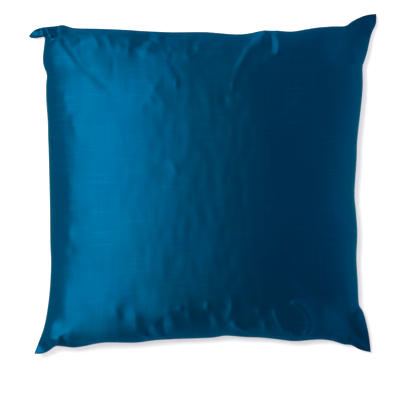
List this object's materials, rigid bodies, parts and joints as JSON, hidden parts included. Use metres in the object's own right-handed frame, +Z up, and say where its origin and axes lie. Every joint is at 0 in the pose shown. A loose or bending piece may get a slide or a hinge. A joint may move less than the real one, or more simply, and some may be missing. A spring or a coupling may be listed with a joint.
{
  "type": "cushion",
  "caption": "Square knife-edge scatter cushion in plain shiny silk, with a crowned face, drawn-in sides, four pulled-out ears and one ear flopped over.",
  "frame": {"origin": "under the middle of the outline, ears included, on the surface the cushion rests on", "axes": "+Z up out of the face, +Y towards the edge at the top of the picture, +X towards its right edge"},
  "size_m": [0.4962, 0.484, 0.149],
  "materials": {
    "silk": "satin sheen, fine crosswise slubs"
  },
  "bodies": {
    "root": {"cushion": "silk"}
  },
  "joints": []
}
